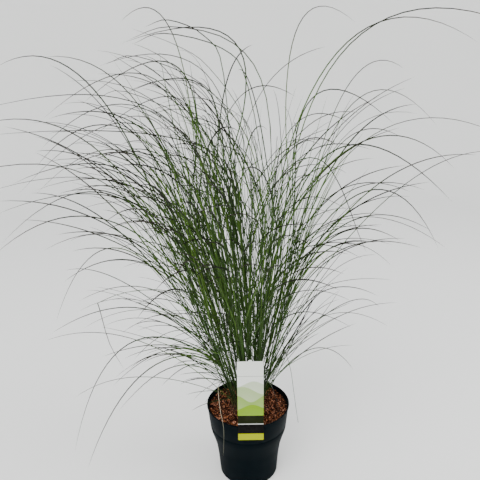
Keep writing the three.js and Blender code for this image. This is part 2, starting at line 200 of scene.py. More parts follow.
class GrassSettings(bpy.types.PropertyGroup):
    """Stems and leaves."""

    # Painted shade: the darker green at a leaf's root stands in for the shade inside the clump;
    # stems and dead leaves take it near their roots too
    shaded_root_colour: colour_property("Base", "Colour at a leaf's root", (0.010, 0.026, 0.005))
    leaf_colour: colour_property("Leaf", "Colour along most of a leaf", (0.032, 0.080, 0.009))
    # Painted shade: the dark grey-green where a leaf arches over stands in for thin outer leaves
    # seen dark against the light
    shaded_arch_colour: colour_property("Outer leaf", "Colour where a leaf arches over",
                                (0.012, 0.013, 0.008))
    tip_colour: colour_property("Tip", "Colour of the tips", (0.016, 0.010, 0.008))
    rib_colour: colour_property("Midrib", "Colour of the midrib", (0.15, 0.23, 0.08))
    straw_colour: colour_property("Straw", "Colour of the dead leaves", (0.46, 0.37, 0.27))
    leaf_width: length_property("Leaf width", "Width of a broad leaf", 3.9 * MM)
    keel: length_property("Keel", "Thickness of a leaf at its midrib", 0.8 * MM)
    dead_width: length_property("Dead leaf width", "Width of a dead leaf", 2.1 * MM)
    stem_radius: length_property("Stem radius", "Radius of a stem with its sheaths", 2.2 * MM)
    erect_leaves: IntVectorProperty(
        name="Erect leaves", description="Fine leaves that stay by the stem, on a shoot in the "
        "middle and on one at the edge", default=(12, 3), size=2, min=0)
    arching_leaves: number_property("Arching leaves", "Leaves on a shoot that arch over its top", 1)
    low_leaves: number_property("Low leaves", "Leaves low on an outer shoot that arch down", 4)
    plume_leaves: number_property("Plume leaves", "Long leaves on a shoot that arch to the left", 3)
    side_leaves: number_property("Side leaves", "Leaves from the foot of a shoot at the right", 4)
    dark_leaves: number_property("Dark leaves", "Short withered leaves of a shoot at the left", 2)


class PlantSettings(bpy.types.PropertyGroup):
    """All the sizes and colours of the potted grass."""

    stage: PointerProperty(type=StageSettings)
    pot: PointerProperty(type=PotSettings)
    bark: PointerProperty(type=BarkSettings)
    label: PointerProperty(type=LabelSettings)
    grass: PointerProperty(type=GrassSettings)


def settings():
    return bpy.context.scene.maiden_grass


def mix(low, high, share):
    return low + (high - low) * share


# The random rule of the solids: each draw multiplies the state, modulo a prime number
DICE_MODULUS = 2147483647
DICE_FACTOR = 16807
DICE_STEPS = (7919, 104729, 1299709)
# Seeds of what is drawn here: the bark's base, its chips, the shoots and the dead leaves
BASE_SEED = 71
CHIP_SEED = 72
SHOOT_SEED = 7000
DEAD_SEED = 8000


def dice(first, second=0, third=0):
    """Repeatable draws, told apart by up to three whole numbers."""
    seed = sum(number * step for number, step in zip((first, second, third), DICE_STEPS))
    state = 1 + seed % (DICE_MODULUS - 1)

    def draw(low=0.0, high=1.0):
        nonlocal state
        state = state * DICE_FACTOR % DICE_MODULUS
        return mix(low, high, state / DICE_MODULUS)

    draw()
    draw()
    return draw


def polar(azimuth, reach, height):
    """Point at a reach and a height in the upright plane of an azimuth in degrees."""
    turn = radians(azimuth)
    return np.array([reach * cos(turn), reach * sin(turn), height])


def leaning(azimuth, lean):
    """Unit vector that leans from upright toward an azimuth, both in degrees."""
    return polar(azimuth, sin(radians(lean)), cos(radians(lean)))


def scaled(colour, factor):
    return tuple(factor * channel for channel in colour)


def mixed_colour(first, second, share):
    return tuple(mix(low, high, share) for low, high in zip(first, second))


def bezier(start, control, end, shares):
    shares = np.asarray(shares)[:, None]
    return (1 - shares) ** 2 * start + 2 * shares * (1 - shares) * control + shares ** 2 * end


# Modelling by hand

def deselect():
    bpy.ops.object.select_all(action="DESELECT")


def pick(piece):
    """Makes the piece active, and alone in the selection."""
    deselect()
    piece.select_set(True)
    bpy.context.view_layer.objects.active = piece


def named(name):
    """The object that was just added, under its name."""
    piece = bpy.context.object
    piece.name = name
    piece.data.name = name
    return piece


def settle(piece):
    """Puts the object's place, turn and scale into its mesh."""
    pick(piece)
    bpy.ops.object.transform_apply(location=True, rotation=True, scale=True)


def edit(piece, select="SELECT"):
    pick(piece)
    bpy.ops.object.mode_set(mode="EDIT")
    bpy.ops.mesh.select_all(action=select)


def leave_edit():
    bpy.ops.object.mode_set(mode="OBJECT")


def turn_outward(piece):
    """Merges doubled corners and turns every face outward."""
    edit(piece)
    bpy.ops.mesh.remove_doubles(threshold=0.001 * MM)
    bpy.ops.mesh.normals_make_consistent(inside=False)
    leave_edit()


def smooth(piece, angle=40):
    pick(piece)
    bpy.ops.object.shade_smooth_by_angle(angle=radians(angle))


def apply_modifier(piece, kind, name, **values):
    bpy.context.view_layer.objects.active = piece
    modifier = piece.modifiers.new(name, kind)
    for key, value in values.items():
        setattr(modifier, key, value)
    bpy.ops.object.modifier_apply(modifier=modifier.name)


def combine(piece, tool, operation):
    """Joins or cuts the piece with a tool object, which is then removed."""
    settle(tool)
    pick(piece)
    apply_modifier(piece, "BOOLEAN", "Combine", object=tool, operation=operation, solver="EXACT")
    bpy.data.objects.remove(tool)


def turned(name, rings, sides):
    """Closed turned body: a filled circle, extruded and scaled from ring to ring."""
    deselect()
    radius, height = rings[0]
    bpy.ops.mesh.primitive_circle_add(
        vertices=sides, radius=radius, fill_type="NGON", location=(0, 0, height))
    piece = named(name)
    edit(piece)
    for next_radius, next_height in rings[1:]:
        rise = (0, 0, next_height - height)
        bpy.ops.mesh.extrude_region_move(TRANSFORM_OT_translate={"value": rise})
        if next_radius != radius:
            scale = next_radius / radius
            bpy.ops.transform.resize(value=(scale, scale, 1))
        radius, height = next_radius, next_height
    leave_edit()
    settle(piece)
    turn_outward(piece)
    return piece


def rounded(outline, size, steps=5):
    """The outline with each inner corner replaced by a curve of about the size, which takes
    less than half of either side."""
    corners = [np.array(corner) for corner in outline]
    points = [corners[0]]
    for before, corner, after in zip(corners, corners[1:], corners[2:]):
        back, ahead = before - corner, after - corner
        reach = min(size, 0.45 * np.linalg.norm(back), 0.45 * np.linalg.norm(ahead))
        start = corner + back / np.linalg.norm(back) * reach
        end = corner + ahead / np.linalg.norm(ahead) * reach
        points.extend(bezier(start, corner, end, np.linspace(0, 1, steps)))
    points.append(corners[-1])
    return [tuple(point) for point in points]


# Materials: short ways to add and link nodes

class Nodes:
    """Adds nodes to one node tree."""

    def __init__(self, tree):
        self.tree = tree

    def put(self, socket, value):
        if isinstance(value, bpy.types.NodeSocket):
            self.tree.links.new(value, socket)
        elif socket.type == "RGBA" and len(value) == 3:
            socket.default_value = (*value, 1)
        else:
            socket.default_value = value

    def add(self, kind, inputs=None, **values):
        node = self.tree.nodes.new("ShaderNode" + kind)
        for key, value in values.items():
            setattr(node, key, value)
        for key, value in (inputs or {}).items():
            self.put(node.inputs[key], value)
        return node

    def math(self, operation, first, second=0.0, clamp=False):
        node = self.add("Math", {0: first, 1: second}, operation=operation, use_clamp=clamp)
        return node.outputs[0]

    def blend(self, share, first, second, mode="MIX"):
        node = self.add("Mix", data_type="RGBA", blend_type=mode)
        self.put(node.inputs["Factor"], share)
        self.put(node.inputs[6], first)
        self.put(node.inputs[7], second)
        return node.outputs[2]

    def span(self, value, low, high, to_low=0.0, to_high=1.0, shape="LINEAR"):
        node = self.add("MapRange", {0: value, 1: low, 2: high, 3: to_low, 4: to_high},
                        interpolation_type=shape)
        return node.outputs[0]

    def ramp(self, value, stops, shape="LINEAR"):
        node = self.add("ValToRGB", {0: value})
        node.color_ramp.interpolation = shape
        elements = node.color_ramp.elements
        while len(elements) < len(stops):
            elements.new(0.5)
        for element, (place, colour) in zip(elements, stops):
            element.position = place
            element.color = (*colour, 1)
        return node.outputs[0]

    def noise(self, vector, scale, detail=3.0, roughness=0.5):
        node = self.add("TexNoise", {
            "Vector": vector, "Scale": scale, "Detail": detail, "Roughness": roughness})
        return node.outputs[0]

    def group(self, tree, inputs):
        node = self.add("Group", node_tree=tree)
        for key, value in inputs.items():
            self.put(node.inputs[key], value)
        return node.outputs

    def spread(self, noise, to_low, to_high):
        """A noise's usual values, drawn out to a new span."""
        return self.span(noise, 0.3, 0.7, to_low, to_high)

    def place(self):
        return self.add("TexCoord").outputs["Object"]

    def strand(self):
        """The strand map, which runs across a strand and along it, and its two parts."""
        strand = self.add("UVMap", uv_map="strand").outputs[0]
        across, along, _ = self.add("SeparateXYZ", {0: strand}).outputs
        return strand, across, along

    def tone(self):
        return self.add("Attribute", attribute_name="tone").outputs["Fac"]


def new_material(name, shader_values):
    """A material with its Principled shader; the values that hold all over go on its sockets."""
    material = bpy.data.materials.new(name)
    material.use_nodes = True
    nodes = Nodes(material.node_tree)
    shader = material.node_tree.nodes["Principled BSDF"]
    for key, value in shader_values.items():
        nodes.put(shader.inputs[key], value)
    return material, nodes, shader


def new_group(name, inputs, outputs):
    """A node group with named sockets; each input comes as its name, kind and default."""
    tree = bpy.data.node_groups.new(name, "ShaderNodeTree")
    for socket_name, kind, default in inputs:
        socket = tree.interface.new_socket(
            socket_name, in_out="INPUT", socket_type="NodeSocket" + kind)
        if default is not None:
            socket.default_value = default
    for socket_name, kind in outputs:
        tree.interface.new_socket(socket_name, in_out="OUTPUT", socket_type="NodeSocket" + kind)
    nodes = Nodes(tree)
    start = tree.nodes.new("NodeGroupInput").outputs
    end = tree.nodes.new("NodeGroupOutput").inputs
    return tree, nodes, start, end


def fibre_group():
    """Lengthwise fibres of leaf, stem and straw, on a map that runs across and along."""
    tree, nodes, start, end = new_group(
        "Fibres",
        [("Vector", "Vector", None), ("Across", "Float", 12.0), ("Along", "Float", 3.0)],
        [("Fibre", "Float"), ("Blotch", "Float")])
    stretch = nodes.add("CombineXYZ", {0: start["Across"], 1: start["Along"], 2: 1.0})
    fine = nodes.add("VectorMath", {0: start["Vector"], 1: stretch.outputs[0]},
                     operation="MULTIPLY")
    nodes.put(end["Fibre"], nodes.noise(fine.outputs[0], 1.0, 2.0))
    coarse = nodes.add("VectorMath", {0: start["Vector"], 1: (1.0, 9.0, 1.0)},
                       operation="MULTIPLY")
    nodes.put(end["Blotch"], nodes.noise(coarse.outputs[0], 1.0, 2.0))
    return tree


def crumb_group():
    """Rough crumbs of bark and soil, as a height and a tone."""
    tree, nodes, start, end = new_group(
        "Crumbs",
        [("Vector", "Vector", None), ("Scale", "Float", 200.0)],
        [("Height", "Float"), ("Tone", "Float")])
    cells = nodes.add("TexVoronoi", {"Vector": start["Vector"], "Scale": start["Scale"]})
    rough = nodes.noise(start["Vector"], start["Scale"], 5.0, 0.65)
    nodes.put(end["Height"], nodes.math("SUBTRACT", rough, cells.outputs["Distance"]))
    nodes.put(end["Tone"], nodes.noise(start["Vector"], 60.0, 4.0, 0.6))
    return tree


def dust_group():
    """Dust and dried splashes on smooth plastic, as a mask and a fine grain."""
    tree, nodes, start, end = new_group(
        "Dust",
        [("Vector", "Vector", None), ("Amount", "Float", 0.5), ("Grain", "Float", 900.0)],
        [("Mask", "Float"), ("Grain", "Float")])
    cloud = nodes.noise(start["Vector"], 14.0, 6.0, 0.62)
    specks = nodes.noise(start["Vector"], 160.0, 3.0, 0.6)
    both = nodes.math("MULTIPLY", nodes.span(cloud, 0.42, 0.72), nodes.span(specks, 0.38, 0.7))
    nodes.put(end["Mask"], nodes.math("MULTIPLY", both, start["Amount"], clamp=True))
    nodes.put(end["Grain"], nodes.noise(start["Vector"], start["Grain"], 2.0))
    return tree


def shared_group(nodes, name, **inputs):
    """Places the group of that name, which is made the first time that it is asked for."""
    make = {"Fibres": fibre_group, "Crumbs": crumb_group, "Dust": dust_group}[name]
    return nodes.group(bpy.data.node_groups.get(name) or make(), inputs)


def bump(nodes, shader, height, strength, distance):
    node = nodes.add("Bump", {"Height": height, "Strength": strength, "Distance": distance})
    nodes.put(shader.inputs["Normal"], node.outputs[0])


# Colours that the settings don't hold
BROWN_SHEATH = (0.10, 0.055, 0.03)
OLIVE_SHEATH = (0.075, 0.060, 0.024)
OLD_STRAW = (0.16, 0.115, 0.065)
YELLOW_STRAW = (0.46, 0.38, 0.25)
STRAW_SPOTS = (0.09, 0.06, 0.035)
WITHERED_GREEN = (0.13, 0.15, 0.10)
SOIL_FIBRES = (0.11, 0.075, 0.045)
PRINTED_RULE = (0.2, 0.2, 0.19)
LABEL_DUST = (0.30, 0.28, 0.24)
SKY_COLOUR = (0.95, 0.97, 1.0)


def leaf_material(look):
    material, nodes, shader = new_material("Grass blade", {"Specular IOR Level": 0.08})
    strand, across, along = nodes.strand()
    tone = nodes.tone()
    fibres = shared_group(nodes, "Fibres", Vector=strand, Across=14.0, Along=2.5)
    # Painted shade along the leaf: darker green at the root, where the clump shades it, and dark
    # grey-green where it arches over, as a thin leaf seen against the light; the tips are purplish
    colour = nodes.ramp(along, [
        (0.0, look.shaded_root_colour), (0.14, look.leaf_colour), (0.3, look.leaf_colour),
        (0.58, look.shaded_arch_colour), (1.0, look.tip_colour)])
    # The tone of each leaf shifts its hue and saturation a little and its brightness a lot: partly
    # random tone, partly painted light and shade, so that some strands look lit and others shaded
    shade = nodes.add("HueSaturation", {
        "Hue": nodes.span(tone, 0, 1, 0.515, 0.48),
        "Saturation": nodes.span(tone, 0, 1, 0.85, 1.05),
        "Value": nodes.span(tone, 0, 1, 0.3, 1.7), "Color": colour}).outputs[0]
    # The fibre streaks are drawn in the dark grey-green of the painted shade
    streaked = nodes.blend(nodes.span(fibres["Fibre"], 0.35, 0.7, 0.0, 0.3),
                           shade, look.shaded_arch_colour)
    off_middle = nodes.math("ABSOLUTE", nodes.math("SUBTRACT", across, 0.5))
    rib = nodes.math("MULTIPLY", nodes.span(off_middle, 0.02, 0.12, 0.45, 0.0),
                     nodes.span(along, 0.05, 0.8, 1.0, 0.0))
    nodes.put(shader.inputs["Base Color"], nodes.blend(rib, streaked, look.rib_colour))
    nodes.put(shader.inputs["Roughness"], nodes.spread(fibres["Blotch"], 0.42, 0.62))
    bump(nodes, shader, fibres["Fibre"], 0.35, 0.2 * MM)
    return material


def stem_material(look):
    material, nodes, shader = new_material("Grass stem", {"Specular IOR Level": 0.12})
    strand, _, along = nodes.strand()
    fibres = shared_group(nodes, "Fibres", Vector=strand, Across=10.0, Along=5.0)
    # Painted shade: above its brown and olive sheaths the stem is darker green low down, and its
    # fibre streaks take that dark green too
    colour = nodes.ramp(along, [
        (0.0, BROWN_SHEATH), (0.07, OLIVE_SHEATH), (0.2, look.shaded_root_colour),
        (0.5, look.leaf_colour), (1.0, look.leaf_colour)])
    shade = nodes.add("HueSaturation", {
        "Value": nodes.span(nodes.tone(), 0, 1, 0.7, 1.25), "Color": colour}).outputs[0]
    nodes.put(shader.inputs["Base Color"], nodes.blend(
        nodes.span(fibres["Fibre"], 0.35, 0.7, 0.0, 0.45), shade, look.shaded_root_colour))
    nodes.put(shader.inputs["Roughness"], nodes.spread(fibres["Blotch"], 0.4, 0.6))
    bump(nodes, shader, fibres["Fibre"], 0.4, 0.3 * MM)
    return material


def straw_material(look):
    material, nodes, shader = new_material("Straw", {"Specular IOR Level": 0.25})
    strand, _, along = nodes.strand()
    fibres = shared_group(nodes, "Fibres", Vector=strand, Across=16.0, Along=4.0)
    crumbs = shared_group(nodes, "Crumbs", Vector=nodes.place(), Scale=300.0)
    dry = nodes.ramp(fibres["Blotch"], [
        (0.3, OLD_STRAW), (0.5, look.straw_colour), (0.75, YELLOW_STRAW)])
    spotted = nodes.blend(nodes.span(crumbs["Tone"], 0.55, 0.75, 0.0, 0.6), dry, STRAW_SPOTS)
    outer = nodes.blend(nodes.span(along, 0.66, 0.8, 0.0, 0.8), spotted, WITHERED_GREEN)
    # Below its middle the dead leaf takes the darker root green, which is painted shade
    nodes.put(shader.inputs["Base Color"], nodes.blend(
        nodes.span(along, 0.42, 0.56), look.shaded_root_colour, outer))
    nodes.put(shader.inputs["Roughness"], nodes.spread(fibres["Fibre"], 0.6, 0.85))
    bump(nodes, shader, fibres["Fibre"], 0.5, 0.3 * MM)
    return material


def pot_material(look):
    material, nodes, shader = new_material("Pot plastic", {"Specular IOR Level": 0.02})
    place = nodes.place()
    height = nodes.add("SeparateXYZ", {0: place}).outputs[2]
    dust = shared_group(nodes, "Dust", Vector=place, Amount=0.3, Grain=1400.0)
    mottled = nodes.blend(nodes.noise(place, 9.0, 4.0), look.colour, scaled(look.colour, 1.6))
    foot = nodes.span(height, 0, 50 * MM, 0.45, 0.0)
    rim = nodes.span(height, 240 * MM, 249 * MM, 0.0, 0.3)
    worn = nodes.math("MULTIPLY", nodes.math("ADD", foot, rim), dust["Grain"])
    dusty = nodes.math("ADD", dust["Mask"], worn, clamp=True)
    nodes.put(shader.inputs["Base Color"], nodes.blend(dusty, mottled, look.dust_colour))
    nodes.put(shader.inputs["Roughness"], nodes.span(dusty, 0.0, 0.5, 0.5, 0.8))
    bump(nodes, shader, dust["Grain"], 0.12, 0.15 * MM)
    return material


def bark_material(look):
    material, nodes, shader = new_material("Bark", {"Specular IOR Level": 0.06})
    crumbs = shared_group(nodes, "Crumbs", Vector=nodes.place(), Scale=420.0)
    middle = mixed_colour(look.dark_colour, look.bright_colour, 0.3)
    pale = tuple(min(1, 1.3 * channel + 0.14) for channel in look.bright_colour)
    mixed = nodes.math("ADD", nodes.tone(), nodes.spread(crumbs["Tone"], -0.16, 0.16), clamp=True)
    colour = nodes.ramp(mixed, [
        (0.0, look.dark_colour), (0.45, middle), (0.7, look.bright_colour), (0.95, pale)])
    # Painted shade: the low places between the crumbs are mixed toward the darkest bark
    nodes.put(shader.inputs["Base Color"], nodes.blend(
        nodes.span(crumbs["Height"], -0.25, 0.35, 0.55, 0.0), colour, look.dark_colour))
    nodes.put(shader.inputs["Roughness"], nodes.spread(crumbs["Tone"], 0.7, 0.95))
    bump(nodes, shader, crumbs["Height"], 0.6, 0.5 * MM)
    return material


def soil_material(look):
    material, nodes, shader = new_material("Soil", {"Specular IOR Level": 0.2})
    crumbs = shared_group(nodes, "Crumbs", Vector=nodes.place(), Scale=240.0)
    nodes.put(shader.inputs["Base Color"], nodes.ramp(crumbs["Tone"], [
        (0.3, look.soil_colour), (0.55, scaled(look.soil_colour, 2.2)), (0.75, SOIL_FIBRES)]))
    nodes.put(shader.inputs["Roughness"], nodes.spread(crumbs["Tone"], 0.8, 1.0))
    bump(nodes, shader, crumbs["Height"], 0.9, 1.5 * MM)
    return material


# Bands of the label: the height where each begins, from the lowest up
LABEL_BANDS = {
    "lime": 206 * MM, "black": 229 * MM, "line": 261 * MM, "olive": 263.5 * MM,
    "picture": 292 * MM, "rule": 424 * MM, "paper": 425.3 * MM,
}
# Rows of rolling hills on the label: height, swell, waves across, start and depth of green
LABEL_HILLS = [
    (400 * MM, 9 * MM, 62.0, 0.6, 0.45),
    (378 * MM, 13 * MM, 48.0, 2.4, 0.70),
    (350 * MM, 11 * MM, 75.0, 4.1, 0.90),
    (321 * MM, 9 * MM, 58.0, 0.9, 1.0),
]
HILL_EDGE = 1.5 * MM
HILL_FADE = 60 * MM


def label_material(look, bottom, top):
    material, nodes, shader = new_material("Label print", {"Specular IOR Level": 0.06})
    place = nodes.place()
    sideways, _, height = nodes.add("SeparateXYZ", {0: place}).outputs
    dust = shared_group(nodes, "Dust", Vector=place, Amount=0.3, Grain=1800.0)
    colours = {
        "lime": look.lime_colour, "black": look.black_colour, "line": look.paper_colour,
        "olive": look.olive_colour, "picture": look.paper_colour, "rule": PRINTED_RULE,
        "paper": look.paper_colour,
    }
    bands = nodes.ramp(
        nodes.span(height, bottom, top),
        [((start - bottom) / (top - bottom), colours[name])
         for name, start in LABEL_BANDS.items()],
        shape="CONSTANT")
    picture = look.paper_colour
    for level, swell, pitch, start, share in LABEL_HILLS:
        phase = nodes.math("ADD", nodes.math("MULTIPLY", sideways, pitch), start)
        wave = nodes.math("MULTIPLY", nodes.math("SINE", phase), swell)
        depth = nodes.math("SUBTRACT", nodes.math("ADD", wave, level), height)
        shown = nodes.math("MULTIPLY", nodes.span(depth, 0, HILL_EDGE),
                           nodes.span(depth, 0, HILL_FADE, 1.0, 0.7))
        hill = mixed_colour(look.paper_colour, look.green_colour, share)
        picture = nodes.blend(shown, picture, hill)
    in_picture = nodes.math(
        "MULTIPLY", nodes.math("GREATER_THAN", height, LABEL_BANDS["picture"]),
        nodes.math("LESS_THAN", height, LABEL_BANDS["rule"]))
    printed = nodes.blend(in_picture, bands, picture)
    nodes.put(shader.inputs["Base Color"], nodes.blend(
        nodes.math("MULTIPLY", dust["Mask"], 0.2), printed, LABEL_DUST))
    nodes.put(shader.inputs["Roughness"], nodes.span(dust["Mask"], 0.0, 0.35, 0.34, 0.6))
    bump(nodes, shader, dust["Grain"], 0.05, 0.1 * MM)
    return material


def backdrop_material(look):
    material, nodes, shader = new_material("Backdrop", {"Specular IOR Level": 0.1})
    cloud = nodes.noise(nodes.place(), 0.8, 2.0)
    nodes.put(shader.inputs["Base Color"], nodes.blend(
        cloud, look.backdrop_colour, scaled(look.backdrop_colour, 0.97)))
    nodes.put(shader.inputs["Roughness"], nodes.spread(cloud, 0.85, 0.95))
    return material


# Pot

POT_FLOOR = 3 * MM
LIP_DEPTH = 12 * MM
LIP_ROUNDING = 1.2 * MM


def pot_outline():
    """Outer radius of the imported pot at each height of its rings, from the base up."""
    outline = {}
    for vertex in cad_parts["pot"].data.vertices:
        height = round(vertex.co.z, 4)
        radius = sqrt(vertex.co.x ** 2 + vertex.co.y ** 2)
        outline[height] = max(outline.get(height, 0), radius)
    return [(radius, height) for height, radius in sorted(outline.items())]


def inner_radius(height):
    """Inner radius of the pot's wall at a height."""
    outline = pot_outline()
    heights = [place for _, place in outline]
    radii = [radius for radius, _ in outline]
    return float(np.interp(height, heights[:-2], radii[:-2])) - settings().pot.wall


def label_middle():
    """The label's place to the right of the pot's axis."""
    low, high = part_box("label")
    return (low.x + high.x) / 2


def creased(rings, look):
    """The rings with a shallow crease pressed in round the wall."""
    radii, heights = zip(*rings)
    step = 1.6 * look.crease_depth
    crease = []
    for offset, depth in ((-2, 0), (-1, 1), (1, 1), (2, 0)):
        height = look.crease_height + offset * step
        crease.append((np.interp(height, heights, radii) - depth * look.crease_depth, height))
    low, high = crease[0][1], crease[-1][1]
    kept = [ring for ring in rings if not low <= ring[1] <= high]
    return sorted([*kept, *crease], key=lambda ring: ring[1])


class MAIDENGRASS_OT_pot(bpy.types.Operator):
    """Models the nursery pot: its tapered wall, wide collar, thin lip and drain holes"""

    bl_idname = "maiden_grass.pot"
    bl_label = "Pot"

    def execute(self, context):
        look = settings().pot
        outline = pot_outline()
        top = outline[-1][1]
        under = top - LIP_DEPTH
        outside = creased(rounded(outline[:-2], look.rounding), look)
        lip = rounded([*outline[-3:], (inner_radius(top), top), (inner_radius(under), under)],
                      LIP_ROUNDING, 4)
        inside = [(inner_radius(height), height) for _, height in reversed(outside[1:-1])
                  if POT_FLOOR < height < under]
        rings = [*outside[:-1], *lip, *inside, (inner_radius(POT_FLOOR) - 1 * MM, POT_FLOOR)]
        pot = turned("pot_shell", rings, look.sides)
        for number in range(look.drain_holes):
            turn = 360 * (number + 0.5) / look.drain_holes
            deselect()
            bpy.ops.mesh.primitive_cylinder_add(
                vertices=24, radius=look.drain_radius, depth=4 * POT_FLOOR,
                location=polar(turn, look.drain_circle, 1 * MM))
            combine(pot, named("drill"), "DIFFERENCE")
        turn_outward(pot)
        smooth(pot)
        pot.data.materials.append(pot_material(look))
        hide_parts("pot")
        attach(pot, BODY)
        return {"FINISHED"}


# Soil and bark

# The bark lies round the crown, and thinly on it
CROWN_RADIUS = 63 * MM
# Bumps of the bark's base, and its rings and sides
BASE_BUMPS = (-1.2 * MM, 0.6 * MM)
BASE_RINGS = 8
BASE_SIDES = 72
# Ranges of a chip's length, as shares of a middling chip's, of its breadth and depth, as shares
# of its length, and of its height in the bark; its steepest tilt in radians; and the size of
# those on the crown, as a share of the others'
CHIP_LENGTHS = (0.55, 1.35)
CHIP_BREADTHS = (0.5, 0.9)
CHIP_LIFT = (-1.0 * MM, 2.6 * MM)
CHIP_TILT = 0.5
CROWN_CHIPS = 0.75
# How far the chips stay from the stems, from the pot's wall and, inward of it, from the hook
STEM_CLEARANCE = 3.5 * MM
WALL_CLEARANCE = 2.5 * MM
HOOK_CLEARANCE = 9 * MM


class MAIDENGRASS_OT_root_ball(bpy.types.Operator):
    """Gives the root ball its soil"""

    bl_idname = "maiden_grass.root_ball"
    bl_label = "Root ball"

    def execute(self, context):
        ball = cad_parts["root_ball"]
        ball.data.materials.clear()
        ball.data.materials.append(soil_material(settings().bark))
        return {"FINISHED"}


def block(name, scale):
    """A block with the scale in its mesh."""
    deselect()
    bpy.ops.mesh.primitive_cube_add(size=1, scale=scale)
    chip = named(name)
    settle(chip)
    return chip


def slab_chip():
    """Flat splinter of bark, one end drawn out and twisted."""
    chip = block("slab_chip", (0.7, 0.5, 0.24))
    edit(chip, "DESELECT")
    leave_edit()
    for face in chip.data.polygons:
        face.select = face.normal.x > 0.9
    bpy.ops.object.mode_set(mode="EDIT")
    bpy.ops.mesh.select_mode(type="FACE")
    bpy.ops.mesh.extrude_region_move(TRANSFORM_OT_translate={"value": (0.28, 0.05, 0.07)})
    bpy.ops.transform.resize(value=(1, 0.5, 0.45))
    leave_edit()
    return chip


def crumb_chip():
    """Rounded crumb of bark."""
    deselect()
    bpy.ops.mesh.primitive_ico_sphere_add(subdivisions=1, radius=0.42, scale=(1, 0.8, 0.55))
    chip = named("crumb_chip")
    settle(chip)
    return chip


def wedge_chip():
    """Broken wedge of bark: a block with one long edge cut away."""
    chip = block("wedge_chip", (0.62, 0.55, 0.42))
    edit(chip)
    bpy.ops.mesh.bisect(plane_co=(0, 0.1, 0.08), plane_no=(0.25, 0.7, 0.75),
                        use_fill=True, clear_outer=True)
    leave_edit()
    return chip


def bark_base(look, outer, inner):
    """Rough ring of bark under the loose chips."""
    deselect()
    bpy.ops.mesh.primitive_circle_add(
        vertices=BASE_SIDES, radius=outer, location=(0, 0, look.surface))
    base = named("bark_chips")
    edit(base)
    radius = outer
    for ring in range(1, BASE_RINGS + 1):
        nearer = mix(outer, inner, ring / BASE_RINGS)
        bpy.ops.mesh.extrude_edges_move()
        bpy.ops.transform.resize(value=(nearer / radius, nearer / radius, 1))
        radius = nearer
    leave_edit()
    settle(base)
    draw = dice(BASE_SEED)
    for vertex in base.data.vertices:
        vertex.co.z += draw(*BASE_BUMPS)
    turn_outward(base)
    if base.data.polygons[0].normal.z < 0:
        base.data.flip_normals()
    apply_modifier(base, "SOLIDIFY", "Depth", thickness=look.depth, offset=-1)
    return base


def gather(name, meshes, placings):
    """One mesh of many copies; each placing is a mesh's number, a matrix and a tone."""
    places, faces, tones = [], [], []
    count = 0
    for number, matrix, tone in placings:
        corners, sides = meshes[number]
        matrix = np.array(matrix)
        places.append(corners @ matrix[:3, :3].T + matrix[:3, 3])
        faces.extend([[count + corner for corner in side] for side in sides])
        tones.extend([tone] * len(corners))
        count += len(corners)
    mesh = bpy.data.meshes.new(name)
    mesh.from_pydata(np.concatenate(places).tolist(), [], faces)
    mesh.attributes.new("tone", "FLOAT", "POINT").data.foreach_set("value", tones)
    piece = bpy.data.objects.new(name, mesh)
    bpy.context.scene.collection.objects.link(piece)
    return piece


class MAIDENGRASS_OT_bark(bpy.types.Operator):
    """Lays the bark: a rough ring on the soil and loose chips up to and between the stems"""

    bl_idname = "maiden_grass.bark"
    bl_label = "Bark"

    def execute(self, context):
        look = settings().bark
        label = settings().label
        outer = inner_radius(look.surface - look.depth) - 0.5 * MM
        base = bark_base(look, outer, CROWN_RADIUS)
        slot = label.hook_width / 2 + 1 * MM
        deselect()
        bpy.ops.mesh.primitive_cube_add(size=1, scale=(2 * slot, 12 * MM, 60 * MM),
                                        location=(label_middle(), -outer, look.surface))
        combine(base, named("hook_slot"), "DIFFERENCE")

        chips = [slab_chip(), wedge_chip(), crumb_chip()]
        meshes = [(np.array([vertex.co[:] for vertex in chip.data.vertices]),
                   [list(face.vertices) for face in chip.data.polygons]) for chip in chips]
        stems = np.array([make_shoot(number).foot[:2] for number in range(SHOOTS)])
        draw = dice(CHIP_SEED)
        placings = []
        while len(placings) < look.chips:
            reach = (outer - WALL_CLEARANCE) * sqrt(draw())
            place = polar(360 * draw(), reach, 0)
            number = int(draw(0, 3))
            length = look.chip_length * mix(*CHIP_LENGTHS, draw() ** 1.6)
            turn = Euler((draw(-CHIP_TILT, CHIP_TILT), draw(-CHIP_TILT, CHIP_TILT),
                          draw(0, 2 * pi)))
            lift = draw(*CHIP_LIFT)
            tone = draw() ** 1.6
            near_stem = np.min(np.hypot(*(stems - place[:2]).T)) < STEM_CLEARANCE
            in_slot = (abs(place[0] - label_middle()) < slot
                       and place[1] < HOOK_CLEARANCE - outer)
            if near_stem or in_slot:
                continue
            place[2] = look.surface + lift
            if reach < CROWN_RADIUS:
                length *= CROWN_CHIPS
                place[2] = CROWN_TOP + lift
            scale = Matrix.Diagonal(
                (length, length * draw(*CHIP_BREADTHS), length * draw(*CHIP_BREADTHS)))
            matrix = Matrix.Translation(place) @ (turn.to_matrix() @ scale).to_4x4()
            placings.append((number, matrix, tone))
        loose = gather("loose_chips", meshes, placings)
        for chip in chips:
            bpy.data.objects.remove(chip)

        deselect()
        loose.select_set(True)
        base.select_set(True)
        bpy.context.view_layer.objects.active = base
        bpy.ops.object.join()
        base.data.materials.append(bark_material(look))
        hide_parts("bark_mulch")
        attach(base, BODY)
        return {"FINISHED"}


# Label

# Gap between the hook and the pot's inner wall, to the middle of the sheet
HOOK_GAP = 1.4 * MM


